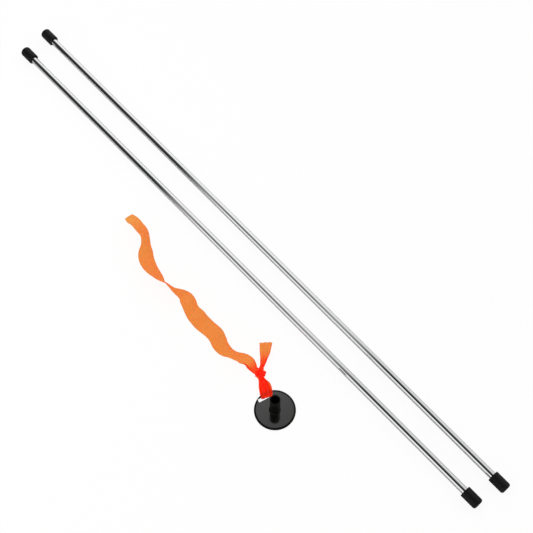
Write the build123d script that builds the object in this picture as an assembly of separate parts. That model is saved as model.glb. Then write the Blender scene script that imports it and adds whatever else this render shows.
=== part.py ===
from build123d import *
from math import cos, radians, sin
import os

# A set of two golf alignment sticks with rubber end caps, and the wind flag that
# goes with them: a disc hub that slides onto a stick, with a ribbon tied through it.
# Millimetres, +Z up. The sticks lie along X on a flat surface at Z = 0, far end
# towards -X, near end towards +X. The flag lies beside them, on the -Y side.
# The origin is the bottom centre of the whole set's box.

# Sticks: chrome-plated steel tubes
STICK_LENGTH = 1219.2          # 48 in over both caps, with the caps pushed home
ROD_DIAMETER = 12.7            # 1/2 in tube
ROD_WALL = 1.0
ROD_EDGE = 0.3                 # chamfer that breaks the tube's cut ends

# Rubber end caps, each with a steel washer in its base
CAP_DIAMETER = 20.0
CAP_LENGTH = 30.0
CAP_BASE = 4.0                 # rubber beyond the washer
CAP_BORE_CLEARANCE = 0.03      # radial, around the tube
CAP_END_ROUND = 4.0
CAP_MOUTH_ROUND = 0.6
CAP_MOUTH_LEAD = 0.7           # lead-in chamfer of the bore
WASHER_DIAMETER = 15.0
WASHER_HOLE = 5.2
WASHER_THICKNESS = 1.2
WASHER_CLEARANCE = 0.05        # round the washer, in its groove

# Lie of the sticks
STICK_SPACING = 53.9           # between the two axes, at the middle of the set
STICK_A_SHIFT = -1.2           # stick A's middle, along X
STICK_B_YAW = -0.24            # degrees: the sticks aren't quite parallel
STICK_B_CAP_STANDOFF = 11.6    # how far each of stick B's caps stops short of home

# Hub: disc and tube moulded in one
HUB_X = 273.0
HUB_TO_STICK_A = 132.0         # hub axis to stick A's axis, along Y
DISC_DIAMETER = 70.0
DISC_THICKNESS = 3.0
DISC_EDGE_ROUND = 2.2
HUB_HEIGHT = 50.0              # from the disc's underside to the tube's top
HUB_TUBE_DIAMETER = 17.6
HUB_BORE = 13.1                # slides on the 12.7 tube
HUB_ROOT_ROUND = 1.6
HUB_TOP_ROUND = 0.6
HUB_BORE_LEAD = 0.5
HUB_STANDOFF = 0.8             # the disc lies on the ribbon that passes under it
SLOT_LENGTH = 25.0
SLOT_WIDTH = 6.6
SLOT_CORNER = 1.2
SLOT_RADIUS = 27.0             # hub axis to the slot's middle
SLOT_AZIMUTH = 176.0           # degrees round from +X to the slot's middle
SLOT_TURN = 77.5               # degrees from +X to the slot's long side

# Ribbon: plain solids that fill the room of a 1 1/4 in tape
TAPE_CLEARANCE = 0.1
TAPE_THICKNESS = 0.6
LOOP_HEADING = 148.0           # degrees from +X, from the slot to the knot
LOOP_WIDTH = 21.0              # bunched in the slot
LOOP_NECK_WIDTH = 15.0         # at the hinge line
LOOP_TOP = 5.6                 # height of the hinge line
HINGE_REACH = 20.0             # slot's middle to the hinge line
HINGE_GAP = 0.4
KNOT_REACH = 43.5              # slot's middle to the knot's middle
NECK_END_WIDTH = 10.0          # where the loop runs into the knot
NECK_END_HEIGHT = 8.0
KNOT_SIZE = (19.0, 16.0, 11.0)
KNOT_ROUND = 4.0
SHORT_END_HEADING = 131.0
SHORT_END_LENGTH = 52.0
SHORT_END_ROOT_WIDTH = 6.0
SHORT_END_ROOT_RISE = 3.0      # its underside, at the knot
SHORT_END_WIDTH = 21.0
SHORT_END_RISE = 10.0
SHORT_END_DEPTH = 6.0

# Stations of the tail from the knot to its cut end, measured from the hub's axis:
# (along X, along Y, width, height)
TAIL_STATIONS = [
    (-68, 22, 11, 10),
    (-83, 21, 13, 21),
    (-105, 14, 10, 31),
    (-117, 9, 8, 31),
    (-129, 5, 15, 30),
    (-140, 5, 22, 26),
    (-152, 8, 27, 19),
    (-177, 12, 25, 22),
    (-213, 12, 28, 17),
    (-236, 14, 25, 22),
    (-248, 16, 21, 27),
    (-259, 16, 12, 31),
    (-271, 15, 7, 32),
    (-283, 13, 7, 31),
    (-295, 10, 10, 30),
    (-319, 10, 21, 25),
    (-343, 13, 27, 17),
    (-366, 21, 32, 15),
    (-382, 34, 19, 28),
    (-392, 41, 17, 29),
    (-414, 49, 22, 24),
    (-438, 50, 26, 19),
    (-452, 52, 24, 17),
]

# Worked out from the sizes above
cap_radius = CAP_DIAMETER / 2
rod_length = STICK_LENGTH - 2 * (CAP_BASE + WASHER_THICKNESS)
disc_radius = DISC_DIAMETER / 2
stick_b_length = STICK_LENGTH + 2 * STICK_B_CAP_STANDOFF
stick_b_swing = stick_b_length / 2 * sin(radians(abs(STICK_B_YAW)))
set_depth = disc_radius + HUB_TO_STICK_A + STICK_SPACING + stick_b_swing + cap_radius
hub_y = disc_radius - set_depth / 2
stick_a_y = hub_y + HUB_TO_STICK_A
stick_b_y = stick_a_y + STICK_SPACING
slot_x = SLOT_RADIUS * cos(radians(SLOT_AZIMUTH))
slot_y = SLOT_RADIUS * sin(radians(SLOT_AZIMUTH))

stick_places = {
    "stick_a": Location((STICK_A_SHIFT, stick_a_y, cap_radius), (0, 0, 0)),
    "stick_b": Location((0, stick_b_y, cap_radius), (0, 0, STICK_B_YAW)),
}
cap_standoffs = {"stick_a": 0.0, "stick_b": STICK_B_CAP_STANDOFF}
end_turns = {"far": 180, "near": 0}
hub_place = Location((HUB_X, hub_y, 0))


def along_x(solid):
    """Turn a shape made along Z so that it runs along X."""
    return Rot(0, 90, 0) * solid


def make_rod():
    tube = Cylinder(ROD_DIAMETER / 2, rod_length) - Cylinder(ROD_DIAMETER / 2 - ROD_WALL, rod_length)
    return along_x(chamfer(tube.edges().filter_by(GeomType.CIRCLE), ROD_EDGE))


def make_cap():
    """A cap along +Z, with its mouth at Z = 0 and its closed end at CAP_LENGTH."""
    foot = (Align.CENTER, Align.CENTER, Align.MIN)
    shell = Cylinder(cap_radius, CAP_LENGTH, align=foot)
    shell = fillet(shell.edges().group_by(Axis.Z)[-1], CAP_END_ROUND)
    shell = fillet(shell.edges().group_by(Axis.Z)[0], CAP_MOUTH_ROUND)
    bore_radius = ROD_DIAMETER / 2 + CAP_BORE_CLEARANCE
    bore_depth = CAP_LENGTH - CAP_BASE
    bore = Cylinder(bore_radius, bore_depth, align=foot)
    lead = Cone(bore_radius + CAP_MOUTH_LEAD, bore_radius, CAP_MOUTH_LEAD, align=foot)
    groove_height = WASHER_THICKNESS + 2 * WASHER_CLEARANCE
    groove = Cylinder(WASHER_DIAMETER / 2 + WASHER_CLEARANCE, groove_height, align=foot)
    groove_place = Pos(0, 0, bore_depth - groove_height + WASHER_CLEARANCE)
    return shell - bore - lead - groove_place * groove


def make_washer():
    """The washer of the cap above, in the same place."""
    foot = (Align.CENTER, Align.CENTER, Align.MIN)
    disc = Cylinder(WASHER_DIAMETER / 2, WASHER_THICKNESS, align=foot)
    hole = Cylinder(WASHER_HOLE / 2, WASHER_THICKNESS, align=foot)
    return Pos(0, 0, CAP_LENGTH - CAP_BASE - WASHER_THICKNESS) * (disc - hole)


def make_hub():
    foot = (Align.CENTER, Align.CENTER, Align.MIN)
    disc = Cylinder(disc_radius, DISC_THICKNESS, align=foot)
    disc = fillet(disc.edges().group_by(Axis.Z)[-1], DISC_EDGE_ROUND)
    tube = Cylinder(HUB_TUBE_DIAMETER / 2, HUB_HEIGHT, align=foot)
    tube = fillet(tube.edges().group_by(Axis.Z)[-1], HUB_TOP_ROUND)
    body = disc + tube
    root = body.edges().filter_by(GeomType.CIRCLE).filter_by(
        lambda edge: abs(edge.center().Z - DISC_THICKNESS) < 0.01
        and abs(edge.radius - HUB_TUBE_DIAMETER / 2) < 0.01
    )
    body = fillet(root, HUB_ROOT_ROUND)
    body -= Cylinder(HUB_BORE / 2, HUB_HEIGHT, align=foot)
    lead = Cone(HUB_BORE / 2, HUB_BORE / 2 + HUB_BORE_LEAD, HUB_BORE_LEAD, align=foot)
    body -= Pos(0, 0, HUB_HEIGHT - HUB_BORE_LEAD) * lead
    slot = extrude(RectangleRounded(SLOT_LENGTH, SLOT_WIDTH, SLOT_CORNER), DISC_THICKNESS)
    body -= Location((slot_x, slot_y, 0), (0, 0, SLOT_TURN)) * slot
    return Pos(0, 0, HUB_STANDOFF) * body


def split_hub(hub):
    """The one moulding in two simple solids: the disc with the tube's root, and the tube above it."""
    top_of_root = Plane.XY.offset(HUB_STANDOFF + DISC_THICKNESS + HUB_ROOT_ROUND)
    disc = split(hub, bisect_by=top_of_root, keep=Keep.BOTTOM)
    tube = split(hub, bisect_by=top_of_root, keep=Keep.TOP)
    return disc, tube


def loop_place(reach):
    """A place on the loop's centre line, this far from the slot, heading to the knot."""
    heading = radians(LOOP_HEADING)
    return Location(
        (slot_x + reach * cos(heading), slot_y + reach * sin(heading), 0),
        (0, 0, LOOP_HEADING),
    )


def tapered_bar(start_width, end_width, start_z, end_z, start_depth, end_depth, length):
    """A bar along +X that changes its width, height and depth evenly."""
    start = Plane(origin=(0, 0, start_z), x_dir=(0, 1, 0), z_dir=(1, 0, 0))
    end = Plane(origin=(length, 0, end_z), x_dir=(0, 1, 0), z_dir=(1, 0, 0))
    low = (Align.CENTER, Align.MIN)
    return loft([
        start * Rectangle(start_width, start_depth, align=low),
        end * Rectangle(end_width, end_depth, align=low),
    ], ruled=True)


def make_ribbon_loop():
    """The doubled tape, through the slot and round the disc's rim, up to the hinge line."""
    length = HINGE_REACH - HINGE_GAP / 2
    loop = loop_place(0) * tapered_bar(
        LOOP_WIDTH, LOOP_NECK_WIDTH, 0, 0, LOOP_TOP, LOOP_TOP, length)
    slot_line = Location((slot_x, slot_y, 0), (0, 0, SLOT_TURN))
    beyond_slot = slot_line * Pos(0, SLOT_WIDTH / 2 - TAPE_CLEARANCE - TAPE_THICKNESS, 0)
    outer_half = (Align.CENTER, Align.MIN, Align.CENTER)
    cut_box = Box(4 * SLOT_LENGTH, 4 * SLOT_LENGTH, 4 * LOOP_TOP, align=outer_half)
    loop = loop & beyond_slot * cut_box
    land_low = HUB_STANDOFF - TAPE_CLEARANCE
    land_high = HUB_STANDOFF + DISC_THICKNESS + TAPE_CLEARANCE
    land = Pos(0, 0, (land_low + land_high) / 2) * Cylinder(
        disc_radius + TAPE_CLEARANCE, land_high - land_low)
    land = land & slot_line * Pos(0, SLOT_WIDTH / 2 - TAPE_CLEARANCE, 0) * cut_box
    return loop - land


def make_ribbon_tail():
    """The knot with the two free ends that leave it, beyond the hinge line."""
    neck_start = HINGE_REACH + HINGE_GAP / 2
    neck = loop_place(neck_start) * tapered_bar(
        LOOP_NECK_WIDTH, NECK_END_WIDTH, 0, 0, LOOP_TOP, NECK_END_HEIGHT, KNOT_REACH - neck_start)
    knot = fillet(Box(*KNOT_SIZE, align=(Align.CENTER, Align.CENTER, Align.MIN)).edges(), KNOT_ROUND)
    knot = loop_place(KNOT_REACH) * knot
    knot_middle = loop_place(KNOT_REACH).position
    short_end = Location(knot_middle, (0, 0, SHORT_END_HEADING)) * tapered_bar(
        SHORT_END_ROOT_WIDTH, SHORT_END_WIDTH, SHORT_END_ROOT_RISE, SHORT_END_RISE,
        SHORT_END_DEPTH, SHORT_END_DEPTH, SHORT_END_LENGTH)
    sections = []
    for x, y, width, height in TAIL_STATIONS:
        plane = Plane(origin=(x, y, 0), x_dir=(0, 1, 0), z_dir=(1, 0, 0))
        sections.append(plane * Rectangle(width, height, align=(Align.CENTER, Align.MIN)))
    return neck + knot + short_end + loft(sections, ruled=True)


def save(name, shape):
    shape.label = name
    export_step(shape, f"parts/{name}.step")


os.makedirs("parts", exist_ok=True)

for stick, place in stick_places.items():
    save(f"{stick}_rod", place * make_rod())
    cap_start = STICK_LENGTH / 2 - CAP_LENGTH + cap_standoffs[stick]
    for end, turn in end_turns.items():
        cap_place = place * Rot(0, 0, turn) * Pos(cap_start, 0, 0)
        save(f"{stick}_cap_{end}", cap_place * along_x(make_cap()))
        save(f"{stick}_washer_{end}", cap_place * along_x(make_washer()))

hub_disc, hub_tube = split_hub(make_hub())
save("hub_disc", hub_place * hub_disc)
save("hub_tube", hub_place * hub_tube)
save("ribbon_loop", hub_place * make_ribbon_loop())
save("ribbon_tail", hub_place * make_ribbon_tail())

hinge = (hub_place * loop_place(HINGE_REACH)).position
print("hub centre", (HUB_X, round(hub_y, 3)))
print("stick A y", round(stick_a_y, 3), "stick B y", round(stick_b_y, 3))
print("rod length", round(rod_length, 2), "set depth", round(set_depth, 3))
print("ribbon hinge", round(hinge.X, 3), round(hinge.Y, 3), "at height", LOOP_TOP)
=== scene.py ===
"""The looks of the alignment stick set: two chrome tubes with rubber caps, and the wind flag beside them.

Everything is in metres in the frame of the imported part: +X along the sticks, +Z up from the floor.
The flag's tape is one strip of film, cut end to cut end: tail, knot, loop through the hub, short end.
"""

import math

import bpy
import numpy as np
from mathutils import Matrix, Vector


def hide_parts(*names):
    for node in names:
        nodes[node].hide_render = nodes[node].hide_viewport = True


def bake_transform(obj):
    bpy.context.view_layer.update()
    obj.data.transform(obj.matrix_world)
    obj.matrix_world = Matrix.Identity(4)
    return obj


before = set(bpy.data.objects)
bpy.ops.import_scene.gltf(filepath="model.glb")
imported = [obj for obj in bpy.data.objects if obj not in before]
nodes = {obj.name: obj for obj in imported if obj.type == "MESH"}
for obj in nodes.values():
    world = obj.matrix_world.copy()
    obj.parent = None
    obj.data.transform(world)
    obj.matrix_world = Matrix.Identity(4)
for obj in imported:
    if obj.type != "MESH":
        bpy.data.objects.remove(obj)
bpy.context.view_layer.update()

MM = 0.001

# ---------------------------------------------------------------- camera

CAMERA_TARGET = Vector((0.0637, 0.0878, 0.0))
CAMERA_DISTANCE = 1.8533
CAMERA_ELEVATION = 62.81        # degrees above the floor
CAMERA_HEADING = 138.02         # degrees from +X, the way the camera looks
CAMERA_LENS = 70.24             # mm, on a 36 mm sensor


def make_camera():
    data = bpy.data.cameras.new("camera")
    data.lens = CAMERA_LENS
    data.sensor_width = 36.0
    data.clip_end = 50.0
    camera = bpy.data.objects.new("camera", data)
    bpy.context.scene.collection.objects.link(camera)
    elevation = math.radians(CAMERA_ELEVATION)
    heading = math.radians(CAMERA_HEADING)
    back = Vector((
        -math.cos(heading) * math.cos(elevation),
        -math.sin(heading) * math.cos(elevation),
        math.sin(elevation),
    ))
    camera.location = CAMERA_TARGET + back * CAMERA_DISTANCE
    camera.rotation_mode = "QUATERNION"
    camera.rotation_quaternion = (-back).to_track_quat("-Z", "Y")
    bpy.context.scene.camera = camera


make_camera()

# ---------------------------------------------------------------- material tools


def new_material(name):
    material = bpy.data.materials.new(name)
    material.use_nodes = True
    material.node_tree.nodes.clear()
    return material, material.node_tree


def add(tree, kind, **settings):
    node = tree.nodes.new(kind)
    for key, value in settings.items():
        setattr(node, key, value)
    return node


def grain_group():
    """Fine grain and broad unevenness, from one position in metres."""
    group = bpy.data.node_groups.new("grain", "ShaderNodeTree")
    face = group.interface
    face.new_socket("Position", in_out="INPUT", socket_type="NodeSocketVector")
    for name, value in (("Fine Scale", 900.0), ("Broad Scale", 30.0), ("Stretch", 1.0)):
        socket = face.new_socket(name, in_out="INPUT", socket_type="NodeSocketFloat")
        socket.default_value = value
    face.new_socket("Fine", in_out="OUTPUT", socket_type="NodeSocketFloat")
    face.new_socket("Broad", in_out="OUTPUT", socket_type="NodeSocketFloat")
    start = add(group, "NodeGroupInput")
    end = add(group, "NodeGroupOutput")
    along = add(group, "ShaderNodeCombineXYZ")
    along.inputs[1].default_value = 1.0
    along.inputs[2].default_value = 1.0
    group.links.new(start.outputs["Stretch"], along.inputs[0])
    scaled = add(group, "ShaderNodeVectorMath", operation="MULTIPLY")
    group.links.new(start.outputs["Position"], scaled.inputs[0])
    group.links.new(along.outputs[0], scaled.inputs[1])
    for name, detail in (("Fine", 4.0), ("Broad", 2.0)):
        noise = add(group, "ShaderNodeTexNoise")
        noise.inputs["Detail"].default_value = detail
        group.links.new(scaled.outputs[0], noise.inputs["Vector"])
        group.links.new(start.outputs[name + " Scale"], noise.inputs["Scale"])
        group.links.new(noise.outputs["Fac"], end.inputs[name])
    return group


GRAIN = grain_group()


def place_grain(tree, fine, broad, stretch=1.0):
    where = add(tree, "ShaderNodeTexCoord")
    grain = add(tree, "ShaderNodeGroup", node_tree=GRAIN)
    tree.links.new(where.outputs["Object"], grain.inputs["Position"])
    grain.inputs["Fine Scale"].default_value = fine
    grain.inputs["Broad Scale"].default_value = broad
    grain.inputs["Stretch"].default_value = stretch
    return grain


def ramp(tree, source, low, high, from_low=0.3, from_high=0.7):
    """A value that goes from low to high as the source goes from from_low to from_high."""
    spread = add(tree, "ShaderNodeMapRange")
    tree.links.new(source, spread.inputs["Value"])
    spread.inputs["From Min"].default_value = from_low
    spread.inputs["From Max"].default_value = from_high
    spread.inputs["To Min"].default_value = low
    spread.inputs["To Max"].default_value = high
    return spread.outputs["Result"]


def combine(tree, operation, first, second):
    """A sum done on two values, each a number or a socket."""
    node = add(tree, "ShaderNodeMath", operation=operation)
    for socket, value in zip(node.inputs, (first, second)):
        if isinstance(value, float):
            socket.default_value = value
        else:
            tree.links.new(value, socket)
    return node.outputs[0]


def blend_colour(tree, source, first, second):
    mix = add(tree, "ShaderNodeMix", data_type="RGBA")
    tree.links.new(source, mix.inputs["Factor"])
    mix.inputs["A"].default_value = (*first, 1.0)
    mix.inputs["B"].default_value = (*second, 1.0)
    return mix.outputs["Result"]


def finish_surface(tree, shader, height=None, strength=0.1, distance=0.0002):
    if height is not None:
        bump = add(tree, "ShaderNodeBump")
        bump.inputs["Strength"].default_value = strength
        bump.inputs["Distance"].default_value = distance
        tree.links.new(height, bump.inputs["Height"])
        tree.links.new(bump.outputs["Normal"], shader.inputs["Normal"])
    output = add(tree, "ShaderNodeOutputMaterial")
    tree.links.new(shader.outputs[0], output.inputs["Surface"])


# ---------------------------------------------------------------- materials


def chrome_plate():
    """Bright plate on a drawn tube: faint marks run along it."""
    material, tree = new_material("chrome_plate")
    shader = add(tree, "ShaderNodeBsdfPrincipled")
    shader.inputs["Metallic"].default_value = 1.0
    grain = place_grain(tree, fine=2600.0, broad=60.0, stretch=0.02)
    colour = blend_colour(tree, grain.outputs["Broad"], (0.86, 0.87, 0.88), (0.91, 0.91, 0.92))
    tree.links.new(colour, shader.inputs["Base Color"])
    tree.links.new(ramp(tree, grain.outputs["Broad"], 0.03, 0.07), shader.inputs["Roughness"])
    finish_surface(tree, shader, grain.outputs["Fine"], strength=0.08, distance=0.00002)
    return material


def moulded_rubber():
    """Matt black rubber with the fine skin of its mould."""
    material, tree = new_material("moulded_rubber")
    shader = add(tree, "ShaderNodeBsdfPrincipled")
    shader.inputs["Specular IOR Level"].default_value = 0.22
    grain = place_grain(tree, fine=1500.0, broad=120.0)
    colour = blend_colour(tree, grain.outputs["Broad"], (0.0065, 0.0065, 0.0067), (0.012, 0.012, 0.0123))
    tree.links.new(colour, shader.inputs["Base Color"])
    tree.links.new(ramp(tree, grain.outputs["Broad"], 0.48, 0.62), shader.inputs["Roughness"])
    finish_surface(tree, shader, grain.outputs["Fine"], strength=0.35, distance=0.00015)
    return material


def zinc_plate():
    """Dull zinc on a stamped washer."""
    material, tree = new_material("zinc_plate")
    shader = add(tree, "ShaderNodeBsdfPrincipled")
    shader.inputs["Metallic"].default_value = 1.0
    grain = place_grain(tree, fine=2000.0, broad=350.0)
    colour = blend_colour(tree, grain.outputs["Broad"], (0.42, 0.43, 0.45), (0.60, 0.61, 0.62))
    tree.links.new(colour, shader.inputs["Base Color"])
    tree.links.new(ramp(tree, grain.outputs["Broad"], 0.30, 0.45), shader.inputs["Roughness"])
    finish_surface(tree, shader, grain.outputs["Fine"], strength=0.15, distance=0.0001)
    return material


HUB_AXIS = (0.273, -0.08175)            # x and y of the hub's bore
POLISH_INNER = 0.0099                   # radii of the polished ring: outside the tube's root
POLISH_OUTER = 0.0320                   # and inside the disc's rounded edge


def black_plastic(name):
    """Black plastic as it leaves the mould."""
    material, tree = new_material(name)
    shader = add(tree, "ShaderNodeBsdfPrincipled")
    shader.inputs["Specular IOR Level"].default_value = 0.12
    grain = place_grain(tree, fine=1100.0, broad=45.0)
    colour = blend_colour(tree, grain.outputs["Broad"], (0.0040, 0.0036, 0.0030), (0.0085, 0.0078, 0.0066))
    tree.links.new(colour, shader.inputs["Base Color"])
    tree.links.new(ramp(tree, grain.outputs["Broad"], 0.30, 0.42), shader.inputs["Roughness"])
    finish_surface(tree, shader, grain.outputs["Fine"], strength=0.06, distance=0.0001)
    return material


def polished_plastic():
    """The same plastic, polished on the disc's flat ring: the polish is a coat that ends at two radii."""
    material = black_plastic("polished_plastic")
    tree = material.node_tree
    shader = next(node for node in tree.nodes if node.type == "BSDF_PRINCIPLED")
    shader.inputs["Coat IOR"].default_value = 2.10
    shader.inputs["Coat Roughness"].default_value = 0.09
    where = add(tree, "ShaderNodeTexCoord")
    from_axis = add(tree, "ShaderNodeVectorMath", operation="SUBTRACT")
    tree.links.new(where.outputs["Object"], from_axis.inputs[0])
    from_axis.inputs[1].default_value = (*HUB_AXIS, 0.0)
    level = add(tree, "ShaderNodeVectorMath", operation="MULTIPLY")
    tree.links.new(from_axis.outputs[0], level.inputs[0])
    level.inputs[1].default_value = (1.0, 1.0, 0.0)
    radius = add(tree, "ShaderNodeVectorMath", operation="LENGTH")
    tree.links.new(level.outputs[0], radius.inputs[0])
    rises = ramp(tree, radius.outputs["Value"], 0.0, 1.0, POLISH_INNER - 0.0004, POLISH_INNER + 0.0004)
    falls = ramp(tree, radius.outputs["Value"], 1.0, 0.0, POLISH_OUTER - 0.0008, POLISH_OUTER + 0.0004)
    tree.links.new(combine(tree, "MULTIPLY", rises, falls), shader.inputs["Coat Weight"])
    return material


FILM_FILTER = (0.97, 0.875, 0.40)        # what one face of the film lets through
FILM_DYE = (1.0, 0.036, 0.007)          # what its own body gives back
FILM_DYE_DEEP = (0.92, 0.028, 0.009)    # the same, a little deeper, in broad patches
PLAIN_DEPTH = 0.42                      # how much of its body shows where it is plain
GATHERED_DEPTH = 0.72                   # and where it is gathered tight
CUT_END_SHEEN_DEPTH = 0.34                    # and at the tail's cut end, set lower so the end looks lighter: a painted sheen
EDGE_ON_DEPTH = 0.10                    # added where it is seen from its edge
FILM_PAINTED_GLOW = 0.42                        # a painted glow: the film's own emission, lifting all of it and the shade in its creases above what the lamps give; partly the fluorescent dye's real brightness


def tape_film():
    """Thin dyed film: light goes through it, less where it is gathered or seen from its edge. It carries a
    painted glow, and its tail's cut end is painted lighter as a sheen.
    """
    material, tree = new_material("tape_film")
    grain = place_grain(tree, fine=700.0, broad=22.0)
    through = add(tree, "ShaderNodeBsdfTransparent")
    through.inputs["Color"].default_value = (*FILM_FILTER, 1.0)
    glow = add(tree, "ShaderNodeBsdfTranslucent")
    glow.inputs["Color"].default_value = (*FILM_DYE, 1.0)
    skin = add(tree, "ShaderNodeBsdfPrincipled")
    dye = blend_colour(tree, grain.outputs["Broad"], FILM_DYE, FILM_DYE_DEEP)
    tree.links.new(dye, skin.inputs["Base Color"])
    # painted glow: an emission on the film's skin that brightens it evenly, the shaded creases of the
    # gathered knot too
    skin.inputs["Emission Color"].default_value = (*FILM_DYE, 1.0)
    skin.inputs["Emission Strength"].default_value = FILM_PAINTED_GLOW
    tree.links.new(ramp(tree, grain.outputs["Broad"], 0.32, 0.45), skin.inputs["Roughness"])
    bump = add(tree, "ShaderNodeBump")
    bump.inputs["Strength"].default_value = 0.30
    bump.inputs["Distance"].default_value = 0.0003
    tree.links.new(grain.outputs["Fine"], bump.inputs["Height"])
    tree.links.new(bump.outputs["Normal"], skin.inputs["Normal"])
    body = add(tree, "ShaderNodeMixShader")
    body.inputs["Fac"].default_value = 0.5
    tree.links.new(glow.outputs[0], body.inputs[1])
    tree.links.new(skin.outputs[0], body.inputs[2])
    depth = add(tree, "ShaderNodeAttribute", attribute_name="depth")
    turned_away = add(tree, "ShaderNodeLayerWeight")
    turned_away.inputs["Blend"].default_value = 0.5
    slant = ramp(tree, turned_away.outputs["Facing"], 0.0, EDGE_ON_DEPTH, 0.0, 1.0)
    film = add(tree, "ShaderNodeMixShader")
    tree.links.new(combine(tree, "ADD", depth.outputs["Fac"], slant), film.inputs["Fac"])
    tree.links.new(through.outputs[0], film.inputs[1])
    tree.links.new(body.outputs[0], film.inputs[2])
    output = add(tree, "ShaderNodeOutputMaterial")
    tree.links.new(film.outputs[0], output.inputs["Surface"])
    return material


def dress(material, names):
    for name in names:
        for slot in nodes[name].material_slots:
            slot.material = material


STICKS = ("stick_a", "stick_b")
ENDS = ("far", "near")

dress(chrome_plate(), [f"{stick}_rod" for stick in STICKS])
dress(moulded_rubber(), [f"{stick}_cap_{end}" for stick in STICKS for end in ENDS])
dress(zinc_plate(), [f"{stick}_washer_{end}" for stick in STICKS for end in ENDS])
dress(polished_plastic(), ["hub_disc"])
dress(black_plastic("matt_plastic"), ["hub_tube"])

# ---------------------------------------------------------------- the tape's route

TAPE_WIDTH = 31.75              # mm, the width of the roll, 1 1/4 inch
TAPE_THICKNESS = 0.12
FLOOR_GAP = 0.3                 # the lower edge lies this far above the floor

# x, y of the tail's middle line and how far the film is rolled over there, in degrees:
# 0 lies flat, 90 stands on its edge, 180 lies flat on its other face.
TAIL = (
    (-175, -32, 136),
    (-165, -31, 145),
    (-153, -31, 139),
    (-141, -32, 139),
    (-130, -34.5, 132),
    (-119, -38, 121),
    (-109, -44, 118),
    (-100, -51, 128),
    (-93, -59, 145),
    (-82, -65, 155),
    (-70, -68, 149),
    (-58, -70, 140),
    (-46, -71, 131),
    (-34, -72, 118),
    (-22, -70, 106),
    (-10, -68, 95),
    (2, -66, 87),
    (14, -62.5, 69),
    (25, -61.5, 44),
    (37, -65, 35),
    (49, -69, 36),
    (60, -69, 23),
    (72, -70, 31),
    (84, -69, 36),
    (96, -68, 38),
    (109, -68, 31),
    (121, -71.5, 31),
    (133, -72.5, 42),
    (144, -71.5, 65),
    (156, -69.5, 78),
    (168, -65, 76),
)

# The knot and the loop are laid out from the middle of the knot: right of it, away from the hub, and up.
KNOT = (209.3, -57.5)
KNOT_HEADING = 148.0            # degrees from +X, the way from the hub to the knot

# right, away, up, then the way the film's first edge points (degrees from "right", and rolled up),
# the width it is gathered to, how far its pleats stand out, and the width folded over at one edge.
KNOT_AND_LOOP = (
    (-16.3, 24.0, 12.0, 20, 52, 27.5, 1.0, -3),
    (-10.7, 12.5, 11.0, 12, 46, 25.5, 0.9, -4),
    (-7.2, 5, 9.5, 25, 42, 15, 0.8, -2),
    (-1.0, 1.0, 11.5, 60, 10, 9, 0.7, 0),
    (5.0, -2.5, 10.0, 62, 0, 9, 0.7, 0),
    (7.4, -3.8, 6.5, 66, 0, 9, 0.7, 0),
    (5.0, -3.0, 2.8, 68, 0, 9, 0.6, 0),
    (-2.0, 0.0, 2.2, 70, 0, 9, 0.6, 0),
    (-7.0, 1.0, 5.0, 70, 0, 9, 0.6, 0),
    (-4.5, -3.0, 8.2, 24, 0, 9, 0.6, 0),
    (-0.5, -8.5, 7.8, 12, 0, 10, 0.8, 0),
    (0.9, -14, 7.4, 4, 0, 12.5, 0.9, 0),
    (2.6, -21, 7.4, 0, 0, 19.5, 0.9, 0),
    (3.8, -28, 7.0, 0, 0, 22, 0.7, 0),
    (3.8, -35, 6.0, 0, 0, 22, 0.5, 0),
    (3.5, -40, 5.2, 3, 0, 21, 0.3, 0),
    (3.0, -43.2, 3.8, 6, 0, 18, 0.2, 0),
    (2.8, -43.8, 2.2, 8, 0, 17, 0.15, 0),
    (2.8, -42.6, 0.8, 8, 0, 17, 0.12, 0),
    (2.8, -39, 0.45, 6, 0, 18, 0.12, 0),
    (3.0, -34, 0.45, 3, 0, 19, 0.12, 0),
    (3.0, -29, 1.2, 0, 0, 19, 0.3, 0),
    (2.8, -22, 2.8, -2, 0, 16, 0.6, 0),
    (2.0, -14, 4.0, -4, 0, 12, 0.7, 0),
    (0.6, -7, 4.8, -8, 0, 9, 0.6, 0),
    (0.4, -1, 5.6, -10, 0, 8, 0.6, 0),
    (2.0, 5, 7.2, -16, 5, 7.5, 0.7, 0),
    (5.2, 10.5, 8.6, -22, 10, 8, 0.8, 2),
    (8.0, 17, 9.0, -22, 16, 12, 0.8, 4),
    (12.2, 29, 9.0, -20, 20, 18.5, 0.8, 2.5),
    (15.5, 41, 8.4, -18, 18, 22.5, 0.7, 2.5),
    (18.8, 53, 7.6, -16, 16, 25.5, 0.6, 2.5),
)

NARROWEST = 6.0                 # mm, the least width the film is gathered to
PLEATS = 3.0                    # folds across the film where it is gathered
PLEAT_DRIFT = ((0.5, 31.0, 0.0), (0.35, 13.0, 1.0))     # how the pleats wander: size, mm, start
CRUMPLE = ((0.06, 9.0, 2.2), (0.05, 5.3, -3.1))         # small waves: size, mm along, slant across
BUCKLE = (0.05, 17.0, 1.3)      # a slow lift of the middle: size, mm along, start
HEM_TURN = 2.9                  # radians, how far a folded edge is turned back
HEM_ROUND = 0.05                # half the width of that turn, as a share of half the film
SHEEN_END_SPAN = (12.0, 45.0)         # mm from the tail's cut end where its painted sheen begins to fade, and where it is gone
CUP = 0.4                       # the film curls this far across, in radians at its edges
ROW_STEP = 1.4                  # mm along the film
COLUMNS = 60


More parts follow.
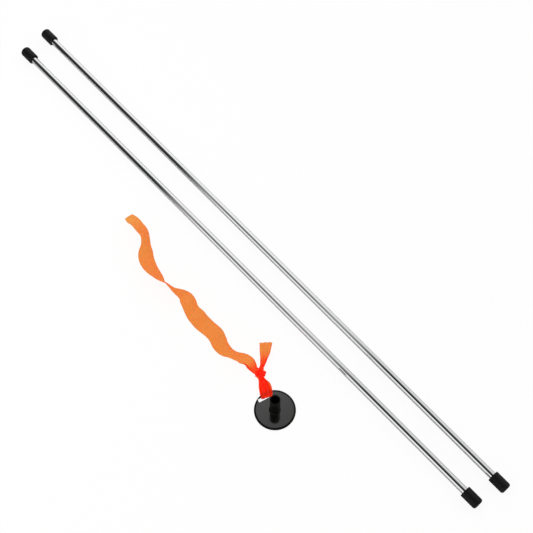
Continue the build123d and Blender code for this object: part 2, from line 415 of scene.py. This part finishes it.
def smooth_line(points, places, stations):
    """Every column of the stations at the given places, by one natural cubic."""
    points = np.asarray(points, float)
    count = len(stations)
    gaps = np.diff(stations)
    system = np.eye(count)
    right = np.zeros((count, points.shape[1]))
    for i in range(1, count - 1):
        system[i, i - 1] = gaps[i - 1]
        system[i, i] = 2.0 * (gaps[i - 1] + gaps[i])
        system[i, i + 1] = gaps[i]
        slope_after = (points[i + 1] - points[i]) / gaps[i]
        slope_before = (points[i] - points[i - 1]) / gaps[i - 1]
        right[i] = 6.0 * (slope_after - slope_before)
    bend = np.linalg.solve(system, right)
    span = np.clip(np.searchsorted(stations, places, side="right") - 1, 0, count - 2)
    gap = gaps[span][:, None]
    before = (stations[span + 1] - places)[:, None]
    after = (places - stations[span])[:, None]
    return (
        bend[span] * before ** 3 / (6.0 * gap)
        + bend[span + 1] * after ** 3 / (6.0 * gap)
        + (points[span] / gap - bend[span] * gap / 6.0) * before
        + (points[span + 1] / gap - bend[span + 1] * gap / 6.0) * after
    )


def tape_stations():
    """Every station as x, y, z, heading and roll of the first edge, gathered width, stand-out, fold."""
    tail = np.array(TAIL, float)
    ahead = np.gradient(tail[:, :2], axis=0)
    heading = np.degrees(np.arctan2(ahead[:, 1], ahead[:, 0])) + 90.0
    rolled = tail[:, 2]
    height = FLOOR_GAP + TAPE_WIDTH / 2.0 * np.abs(np.sin(np.radians(rolled)))
    plain = np.ones(len(tail))
    first = np.column_stack([
        tail[:, 0], tail[:, 1], height, heading, rolled, plain * TAPE_WIDTH, plain, plain * 0.0,
    ])
    rest = np.array(KNOT_AND_LOOP, float)
    away = np.radians(KNOT_HEADING)
    to_right = np.array([math.sin(away), -math.cos(away)])
    to_away = np.array([math.cos(away), math.sin(away)])
    flat = np.array(KNOT) + rest[:, :1] * to_right + rest[:, 1:2] * to_away
    turned = rest[:, 3] + KNOT_HEADING - 90.0
    second = np.column_stack([flat, rest[:, 2], turned, rest[:, 4:]])
    return np.vstack([first, second])


def unit(rows):
    return rows / np.linalg.norm(rows, axis=1)[:, None]


def smooth_share(values, low, high):
    """0 below low, 1 above high, and a smooth step between."""
    share = np.clip((values - low) / (high - low), 0.0, 1.0)
    return share * share * (3.0 - 2.0 * share)


def pleat_strength(share):
    """The swing of the film's direction, in radians, that gathers it to this share of its width."""
    swings = np.linspace(0.0, 2.2, 111)
    turns = np.linspace(0.0, 2.0 * math.pi, 181)[:-1]
    shares = np.array([np.cos(swing * np.cos(turns)).mean() for swing in swings])
    return np.interp(-share, -shares, swings)


def make_tape():
    stations = tape_stations()
    steps = np.linalg.norm(np.diff(stations[:, :3], axis=0), axis=1)
    along = np.concatenate([[0.0], np.cumsum(steps)])
    rows = int(along[-1] / ROW_STEP)
    places = np.linspace(0.0, along[-1], rows)
    line = smooth_line(stations, places, along)
    middle = line[:, :3]
    forward = unit(np.gradient(middle, axis=0))
    heading = np.radians(line[:, 3])
    rolled = np.radians(line[:, 4])
    across = np.column_stack([
        np.cos(rolled) * np.cos(heading), np.cos(rolled) * np.sin(heading), np.sin(rolled),
    ])
    across = unit(across - (across * forward).sum(axis=1)[:, None] * forward)
    outward = np.cross(forward, across)
    width = np.clip(line[:, 5], NARROWEST, TAPE_WIDTH)
    swing = pleat_strength(width / TAPE_WIDTH)
    puff = np.clip(line[:, 6], 0.1, 1.0)
    fold = line[:, 7]

    share = np.linspace(-1.0, 1.0, COLUMNS + 1)
    centre = (share[1:] + share[:-1]) / 2.0
    grid_place = places[:, None]
    drift = sum(size * np.sin(grid_place / pitch + start) for size, pitch, start in PLEAT_DRIFT)
    phase = math.pi * PLEATS * centre[None, :] + drift
    crumple = sum(size * np.sin(grid_place / pitch + slant * centre) for size, pitch, slant in CRUMPLE)
    size, pitch, start = BUCKLE
    crumple = crumple + size * np.sin(grid_place / pitch + start) * np.cos(math.pi * centre)
    lean = swing[:, None] * np.cos(phase) + crumple + CUP * centre
    edge = centre[None, :] * np.sign(fold)[:, None]
    reach = 1.0 - 2.0 * np.abs(fold)[:, None] / TAPE_WIDTH
    over = smooth_share(edge - reach, -HEM_ROUND, HEM_ROUND) * np.minimum(1.0, np.abs(fold)[:, None] / 2.0)
    lean = lean + np.sign(fold)[:, None] * over * HEM_TURN
    piece = TAPE_WIDTH / COLUMNS
    sideways = np.concatenate([np.zeros((rows, 1)), np.cumsum(np.cos(lean) * piece, axis=1)], axis=1)
    upwards = np.concatenate([np.zeros((rows, 1)), np.cumsum(np.sin(lean) * piece, axis=1)], axis=1)
    sideways -= (sideways.max(axis=1) + sideways.min(axis=1))[:, None] / 2.0
    upwards -= upwards.mean(axis=1)[:, None]
    upwards *= puff[:, None]
    spots = (
        middle[:, None, :]
        + sideways[:, :, None] * across[:, None, :]
        + upwards[:, :, None] * outward[:, None, :]
    )
    lowest = spots[:, :, 2].min(axis=1)
    spots[:, :, 2] += np.maximum(FLOOR_GAP - lowest, 0.0)[:, None]

    mesh = bpy.data.meshes.new("flag_tape")
    across_count = COLUMNS + 1
    faces = [
        (
            row * across_count + column,
            row * across_count + column + 1,
            (row + 1) * across_count + column + 1,
            (row + 1) * across_count + column,
        )
        for row in range(rows - 1)
        for column in range(COLUMNS)
    ]
    mesh.from_pydata((spots.reshape(-1, 3) * MM).tolist(), [], faces)
    mesh.polygons.foreach_set("use_smooth", [True] * len(mesh.polygons))
    into_knot = smooth_share(places, along[len(TAIL)], along[len(TAIL) + 2])
    out_of_knot = smooth_share(places, along[-5], along[-2])
    gathered = into_knot * (1.0 - out_of_knot)
    # the tail's cut end lets more of the floor show through: a painted sheen that lightens it
    plain = PLAIN_DEPTH + (CUT_END_SHEEN_DEPTH - PLAIN_DEPTH) * (1.0 - smooth_share(places, *SHEEN_END_SPAN))
    depth = plain + (GATHERED_DEPTH - plain) * gathered
    layer = mesh.attributes.new("depth", "FLOAT", "POINT")
    layer.data.foreach_set("value", np.repeat(depth, across_count).astype(np.float32))
    tape = bpy.data.objects.new("flag_tape", mesh)
    bpy.context.scene.collection.objects.link(tape)
    solid = tape.modifiers.new("thickness", "SOLIDIFY")
    solid.thickness = TAPE_THICKNESS * MM
    solid.offset = 0.0
    length = np.linalg.norm(np.diff(middle, axis=0), axis=1).sum()
    return tape, length


tape, tape_length = make_tape()
tape.data.materials.append(tape_film())
tape.visible_glossy = False         # keeps an orange line off the chrome
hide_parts("ribbon_loop", "ribbon_tail")


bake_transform(tape)

# ---------------------------------------------------------------- stage and light


FLOOR_HALF = 6.0
FLOOR_GLOW = 1.08               # brightness of the lit table
FLOOR_GLOW_SHARE = 0.85         # how much of it the camera sees, over the plain white surface


def make_floor():
    mesh = bpy.data.meshes.new("floor")
    signs = ((-1, -1), (1, -1), (1, 1), (-1, 1))
    corners = [(x * FLOOR_HALF, y * FLOOR_HALF, 0.0) for x, y in signs]
    mesh.from_pydata(corners, [], [(0, 1, 2, 3)])
    floor = bpy.data.objects.new("floor", mesh)
    bpy.context.scene.collection.objects.link(floor)
    material, tree = new_material("light_table")
    paper = add(tree, "ShaderNodeBsdfDiffuse")
    paper.inputs["Color"].default_value = (0.92, 0.92, 0.92, 1.0)
    lamp = add(tree, "ShaderNodeEmission")
    lamp.inputs["Color"].default_value = (1.0, 1.0, 1.0, 1.0)
    lamp.inputs["Strength"].default_value = FLOOR_GLOW
    seen = add(tree, "ShaderNodeLightPath")
    share = combine(tree, "MULTIPLY", seen.outputs["Is Camera Ray"], FLOOR_GLOW_SHARE)
    mix = add(tree, "ShaderNodeMixShader")
    tree.links.new(share, mix.inputs["Fac"])
    output = add(tree, "ShaderNodeOutputMaterial")
    tree.links.new(paper.outputs[0], mix.inputs[1])
    tree.links.new(lamp.outputs[0], mix.inputs[2])
    tree.links.new(mix.outputs[0], output.inputs["Surface"])
    mesh.materials.append(material)


# Where the white studio is darker. A direction is given by its X part, -1 to 1, and by its turn about
# X in degrees: 0 level towards +Y, 90 straight up, 180 level towards -Y. Each row: X part where the
# shade begins, is full, is still full, ends; the same for the turn; and the brightness left there.
SHADES = (
    ((-2.0, -1.5, -0.460, -0.395), (50.0, 98.0, 174.0, 184.0), 0.03),
    ((-0.310, -0.190, 1.5, 2.0), (28.0, 100.0, 126.0, 150.0), 0.01),
    ((-0.460, -0.400, -0.310, -0.190), (50.0, 108.0, 128.0, 150.0), 0.14),
    ((-0.420, -0.200, 1.5, 2.0), (-100.0, -90.0, 30.0, 60.0), 0.78),
)


def smooth_step(tree, source, start, end):
    step = add(tree, "ShaderNodeMapRange", interpolation_type="SMOOTHSTEP")
    tree.links.new(source, step.inputs["Value"])
    step.inputs["From Min"].default_value = start
    step.inputs["From Max"].default_value = end
    return step.outputs["Result"]


def plateau(tree, source, begins, full, still_full, ends):
    """0, up to 1 between the first two limits, down to 0 again between the last two."""
    rise = smooth_step(tree, source, begins, full)
    fall = smooth_step(tree, source, still_full, ends)
    return combine(tree, "MULTIPLY", rise, combine(tree, "SUBTRACT", 1.0, fall))


def make_world():
    world = bpy.data.worlds.new("studio")
    bpy.context.scene.world = world
    world.use_nodes = True
    tree = world.node_tree
    background = tree.nodes["Background"]
    background.inputs["Color"].default_value = (1.0, 1.0, 1.0, 1.0)
    where = add(tree, "ShaderNodeTexCoord")
    parts = add(tree, "ShaderNodeSeparateXYZ")
    tree.links.new(where.outputs["Generated"], parts.inputs[0])
    turn = combine(tree, "ARCTAN2", parts.outputs["Z"], parts.outputs["Y"])
    light = 1.0
    for along, turned, level in SHADES:
        shade = combine(
            tree, "MULTIPLY",
            plateau(tree, parts.outputs["X"], *along),
            plateau(tree, turn, *[math.radians(limit) for limit in turned]),
        )
        kept = combine(tree, "SUBTRACT", 1.0, combine(tree, "MULTIPLY", shade, 1.0 - level))
        light = combine(tree, "MULTIPLY", light, kept)
    tree.links.new(light, background.inputs["Strength"])


def make_softbox(name, place, target, size, power):
    data = bpy.data.lights.new(name, "AREA")
    data.shape = "DISK"
    data.size = size
    data.energy = power
    lamp = bpy.data.objects.new(name, data)
    lamp.location = place
    aim = Vector(target) - Vector(place)
    lamp.rotation_mode = "QUATERNION"
    lamp.rotation_quaternion = aim.to_track_quat("-Z", "Y")
    lamp.visible_glossy = False
    bpy.context.scene.collection.objects.link(lamp)


make_floor()
make_world()
make_softbox("softbox", place=(-0.6, -0.5, 1.6), target=(0.1, 0.0, 0.0), size=1.2, power=6.0)
bpy.context.scene.view_settings.view_transform = "Standard"
